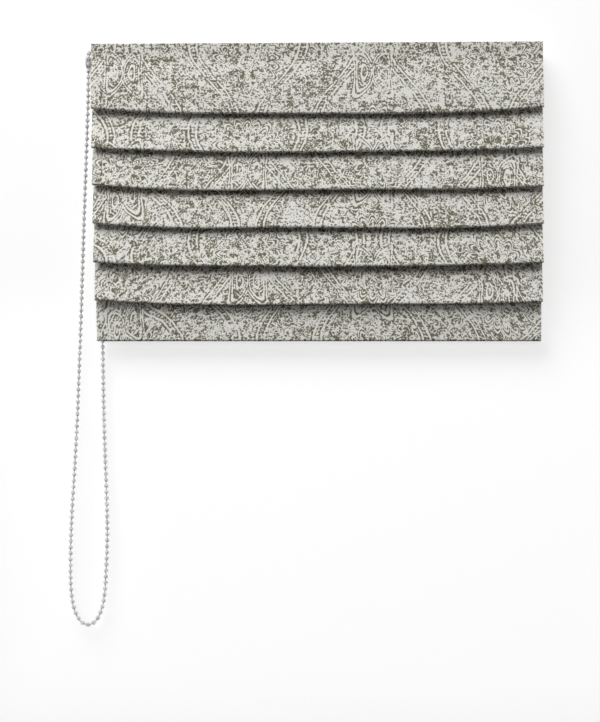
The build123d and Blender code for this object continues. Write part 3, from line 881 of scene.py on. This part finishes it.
def tube_object(name, path, radius, sides, material):
    """A closed tube along a path of points."""
    path = np.array(path)
    along = np.gradient(path, axis=0)
    along /= np.linalg.norm(along, axis=1, keepdims=True)
    helper = np.where(np.abs(along[:, :1]) > 0.9, (0.0, 0.0, 1.0), (1.0, 0.0, 0.0))
    first = np.cross(along, helper)
    first /= np.linalg.norm(first, axis=1, keepdims=True)
    second = np.cross(along, first)
    angles = np.arange(sides) * TURN / sides
    ring = first[:, None] * np.cos(angles)[:, None] + second[:, None] * np.sin(angles)[:, None]
    vertices = (path[:, None] + ring * radius).reshape(-1, 3)
    faces = []
    for row in range(len(path) - 1):
        for side in range(sides):
            a, b = row * sides + side, row * sides + (side + 1) % sides
            faces.append((a, b, b + sides, a + sides))
    last = (len(path) - 1) * sides
    faces.append(tuple(range(sides))[::-1])
    faces.append(tuple(range(last, last + sides)))
    mesh = bpy.data.meshes.new(name)
    mesh.from_pydata(vertices.tolist(), [], faces)
    mesh.polygons.foreach_set("use_smooth", np.ones(len(faces), bool))
    mesh.materials.append(material)
    mesh.update()
    return add_object(name, mesh)


class BLIND_OT_lift_cords(bpy.types.Operator):
    """Make the lift cords: the turns on each spool, and one run between each pair of eyelets"""

    bl_idname = "blind.lift_cords"
    bl_label = "Lift Cords"

    def execute(self, context):
        style = context.scene.blind_chain
        braid = woven_finish("lift_cord_braid", style.cord_colour, 0.9 * MM)
        radius = style.lift_diameter / 2
        for side in ("left", "right"):
            node = f"lift_cord_{side}"
            low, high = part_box(node)
            middle = (low.x + high.x) / 2
            spool_low, spool_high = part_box(f"cord_spool_{side}")
            axis = (spool_low + spool_high) / 2
            wound = high.y - axis.y - radius
            place = axis.y + wound
            turn = np.linspace(0, TURN * COIL_TURNS, COIL_TURNS * COIL_STEPS + 1)
            along = middle - COIL_WIDTH / 2 + COIL_WIDTH * turn / turn[-1]
            coil = [along, axis.y + wound * np.cos(turn), axis.z + wound * np.sin(turn)]
            coil_piece = tube_object(f"{node}_turns", np.stack(coil, axis=1), radius, COIL_SIDES, braid)
            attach(coil_piece, "rail")
            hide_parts(node)
            heights = [axis.z, *ROD_HEIGHTS]
            for number, (top, bottom) in enumerate(zip(heights, heights[1:])):
                end = low.z if number == FOLD_COUNT - 1 else bottom
                path = [(middle, place, z) for z in np.linspace(top, end, RUN_POINTS)]
                run = tube_object(f"{node}_run_{number + 1}", path, radius, RUN_SIDES, braid)
                BODIES[number + 1]
                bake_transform(run)
                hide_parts(node)
                top - end
        return {"FINISHED"}


# Finishes of the rail and the other pieces that keep their shape


class BLIND_OT_hardware(bpy.types.Operator):
    """Give the rail, brackets, ends, drive, rods and bottom bar their finishes"""

    bl_idname = "blind.hardware"
    bl_label = "Hardware Finishes"

    def execute(self, context):
        rail = {"spread": 0.04, "stretch": (0.05, 1, 1)}
        bar = {"metal": 1.0, "stretch": (0.02, 1, 1)}
        rod = {"spread": 0.10, "stretch": (0.03, 1, 1)}
        finishes = {
            "rail_aluminium": plain_finish("coated_rail", (0.76, 0.76, 0.75), 0.42, 1500.0, **rail),
            "bar_aluminium": plain_finish("drawn_bar", (0.70, 0.71, 0.72), 0.34, 1800.0, **bar),
            "zinc_steel": spangle_finish("zinc_bracket", (0.66, 0.68, 0.70)),
            "spring_steel": plain_finish("spring_wire", (0.40, 0.40, 0.42), 0.30, 2000.0, metal=1.0),
            "moulded_white": plain_finish("white_moulding", (0.78, 0.78, 0.76), 0.45, 1200.0, spread=0.04),
            "clear_plastic": clear_finish("clear_moulding"),
            "tape_white": woven_finish("woven_tape", (0.76, 0.75, 0.72), 0.8 * MM),
            "rod_fibreglass": plain_finish("pulled_rod", (0.74, 0.74, 0.68), 0.4, 1600.0, **rod),
        }
        slots = {part["node"]: part["material_slot"] for part in frame["record"]["subparts"]}
        for name, piece in frame["nodes"].items():
            finish = finishes.get(slots[name])
            if finish is None:
                continue
            piece.data.materials.clear()
            piece.data.materials.append(finish)
        return {"FINISHED"}


def stitch_tree(material):
    """Short threads at an even pitch along a line."""
    tree = Tree("stitches_on_line")
    pitch = tree.input("Pitch", "NodeSocketFloat")
    thread = tree.input("Thread", "NodeSocketFloat")
    curve = tree.add("GeometryNodeMeshToCurve", {"Mesh": tree.source.outputs["Geometry"]})
    values = {"Curve": curve.outputs[0], "Length": pitch}
    even = tree.add("GeometryNodeResampleCurve", values, mode="LENGTH")
    long = tree.add("ShaderNodeMath", {0: pitch, 1: STITCH_SHARE}, operation="MULTIPLY")
    size = tree.add("ShaderNodeCombineXYZ", {0: long.outputs[0], 1: thread, 2: thread})
    ball = tree.add("GeometryNodeMeshIcoSphere", {"Radius": 1.0, "Subdivisions": 2})
    scaled = tree.add("GeometryNodeTransform", {"Geometry": ball.outputs[0], "Scale": size.outputs[0]})
    tree.finish(even, scaled, material)
    return tree


class BLIND_OT_stitches(bpy.types.Operator):
    """Sew the hem: a row of stitches on its back"""

    bl_idname = "blind.stitches"
    bl_label = "Stitches"

    def execute(self, context):
        thread = woven_finish("sewing_thread", THREAD_COLOUR, 0.5 * MM)
        half = HALF_WIDTH - STITCH_INSET
        height = CLOTH_BOTTOM + STITCH_RISE
        mesh = bpy.data.meshes.new("hem_stitches")
        mesh.from_pydata([(-half, STITCH_PLACE, height), (half, STITCH_PLACE, height)], [(0, 1)], [])
        line = add_object("hem_stitches_line", mesh)
        values = {"Pitch": STITCH_PITCH, "Thread": THREAD_RADIUS}
        row = stitch_tree(thread).bake(line, "hem_stitches", values)
        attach(row, BODIES[-1])
        return {"FINISHED"}


# Stage


def stage_plane(name, corners, material):
    """A large flat sheet of the stage."""
    mesh = bpy.data.meshes.new(name)
    mesh.from_pydata(corners, [], [tuple(range(len(corners)))])
    mesh.materials.append(material)
    made = add_object(name, mesh)
    return made


def seen_share(tree):
    """1 for the rays that show the backdrop, and 0 for those that only carry light."""
    path = tree.nodes.new("ShaderNodeLightPath")
    seen = Field(tree, path.outputs["Is Camera Ray"])
    for ray in ("Is Glossy Ray", "Is Transmission Ray"):
        seen = seen.work("MAXIMUM", Field(tree, path.outputs[ray]))
    return seen


def stage_finish(name, shade, glow):
    """A pale matt surface that keeps shadows and is clear from behind."""
    material = bpy.data.materials.new(name)
    material.use_nodes = True
    tree = material.node_tree
    tree.nodes.clear()
    out = tree.nodes.new("ShaderNodeOutputMaterial")
    matt = tree.nodes.new("ShaderNodeBsdfDiffuse")
    matt.inputs["Color"].default_value = (shade, shade, shade, 1)
    light = tree.nodes.new("ShaderNodeEmission")
    tree.links.new((seen_share(tree) * glow).socket, light.inputs["Strength"])
    both = tree.nodes.new("ShaderNodeAddShader")
    tree.links.new(matt.outputs[0], both.inputs[0])
    tree.links.new(light.outputs[0], both.inputs[1])
    geometry = tree.nodes.new("ShaderNodeNewGeometry")
    clear = tree.nodes.new("ShaderNodeBsdfTransparent")
    choice = tree.nodes.new("ShaderNodeMixShader")
    tree.links.new(geometry.outputs["Backfacing"], choice.inputs[0])
    tree.links.new(both.outputs[0], choice.inputs[1])
    tree.links.new(clear.outputs[0], choice.inputs[2])
    tree.links.new(choice.outputs[0], out.inputs["Surface"])
    return material


def area_lamp(name, place, target, size, power):
    """A soft lamp that faces a point."""
    lamp = bpy.data.lights.new(name, "AREA")
    lamp.shape = "DISK"
    lamp.size = size
    lamp.energy = power
    made = add_object(name, lamp)
    made.location = place
    made.rotation_euler = (Vector(target) - Vector(place)).to_track_quat("-Z", "Y").to_euler()
    return made


class BLIND_OT_stage(bpy.types.Operator):
    """Set the camera, the wall, the floor and the lamps"""

    bl_idname = "blind.stage"
    bl_label = "Stage"

    def execute(self, context):
        style = context.scene.blind_stage
        scene = context.scene
        scene.view_settings.view_transform = "Standard"
        camera = bpy.data.cameras.new("photo_camera")
        camera.lens = camera.sensor_width * style.camera_reach / style.view_height
        aim = Vector((style.aim_x, AIM_Y, style.aim_z))
        side, rise = style.camera_side, style.camera_rise
        back = Vector((math.sin(side) * math.cos(rise), -math.cos(side) * math.cos(rise), math.sin(rise)))
        eye = add_object("photo_camera", camera)
        eye.location = aim + back * style.camera_reach
        eye.rotation_euler = (-back).to_track_quat("-Z", "Y").to_euler()
        scene.camera = eye
        wide, high, deep = STAGE_WIDE, STAGE_HIGH, STAGE_DEEP
        floor, wall = style.floor_height, style.wall_gap
        corners = [(-wide, wall, floor), (wide, wall, floor), (wide, wall, high), (-wide, wall, high)]
        finish = stage_finish("backdrop_wall", WALL_SHADE, WALL_GLOW)
        backdrop = stage_plane("backdrop_wall", corners, finish)
        corners = [(-wide, -deep, floor), (wide, -deep, floor), (wide, deep, floor), (-wide, deep, floor)]
        finish = stage_finish("backdrop_floor", FLOOR_SHADE, FLOOR_GLOW)
        ground = stage_plane("backdrop_floor", corners, finish)
        # the wall and floor take shadows, and neither block nor throw back light
        for sheet in (backdrop, ground):
            sheet.visible_diffuse = False
            sheet.visible_shadow = False
        for name, (place, target, size) in LAMPS.items():
            lamp = area_lamp(f"{name}_lamp", place, target, size, getattr(style, f"{name}_power"))
            lamp.visible_glossy = name == "key"
            if name == "low":
                # a straight beam evens the light from the hem down
                lamp.data.shape = "RECTANGLE"
                lamp.data.size_y = LOW_LAMP_HEIGHT
                lamp.data.spread = LOW_LAMP_SPREAD
        world = bpy.data.worlds.new("studio_sky")
        scene.world = world
        world.use_nodes = True
        tree = world.node_tree
        sky = tree.nodes["Background"]
        sky.inputs["Color"].default_value = (1, 1, 1, 1)
        way = tree.nodes.new("ShaderNodeTexCoord")
        height = split_vector(tree, way.outputs["Generated"])[2]
        overhead = (height * SKY_SLOPE + SKY_LEVEL).work("MAXIMUM", SKY_LEAST)
        seen = seen_share(tree)
        unseen = seen * -1 + 1
        tree.links.new((seen + unseen * overhead * style.sky).socket, sky.inputs["Strength"])
        return {"FINISHED"}


class VIEW3D_PT_blind(bpy.types.Panel):
    """Lists what makes up the dressed blind"""

    bl_label = "Roman Blind"
    bl_idname = "VIEW3D_PT_blind"
    bl_space_type = "VIEW_3D"
    bl_region_type = "UI"
    bl_category = "Blind"

    def draw(self, context):
        for operator in OPERATORS:
            self.layout.operator(operator.bl_idname)
        for group in (context.scene.blind_cloth, context.scene.blind_chain, context.scene.blind_stage):
            box = self.layout.box()
            for name in group.__annotations__:
                box.prop(group, name)


GROUPS = (BlindCloth, BlindChain, BlindStage)
OPERATORS = (
    BLIND_OT_stage,
    BLIND_OT_chain,
    BLIND_OT_cloth,
    BLIND_OT_lift_cords,
    BLIND_OT_stitches,
    BLIND_OT_hardware,
)
CLASSES = (*GROUPS, *OPERATORS, VIEW3D_PT_blind)


def register():
    """Add the classes and their settings to Blender."""
    for one in CLASSES:
        bpy.utils.register_class(one)
    bpy.types.Scene.blind_cloth = PointerProperty(type=BlindCloth)
    bpy.types.Scene.blind_chain = PointerProperty(type=BlindChain)
    bpy.types.Scene.blind_stage = PointerProperty(type=BlindStage)


def unregister():
    """Take the classes and their settings out again."""
    del bpy.types.Scene.blind_stage
    del bpy.types.Scene.blind_chain
    del bpy.types.Scene.blind_cloth
    for one in reversed(CLASSES):
        bpy.utils.unregister_class(one)


def main():
    """Dress the blind."""
    register()
    bpy.ops.blind.stage()
    bpy.ops.blind.chain()
    bpy.ops.blind.cloth()
    bpy.ops.blind.lift_cords()
    bpy.ops.blind.stitches()
    bpy.ops.blind.hardware()


if __name__ == "__main__":
    main()
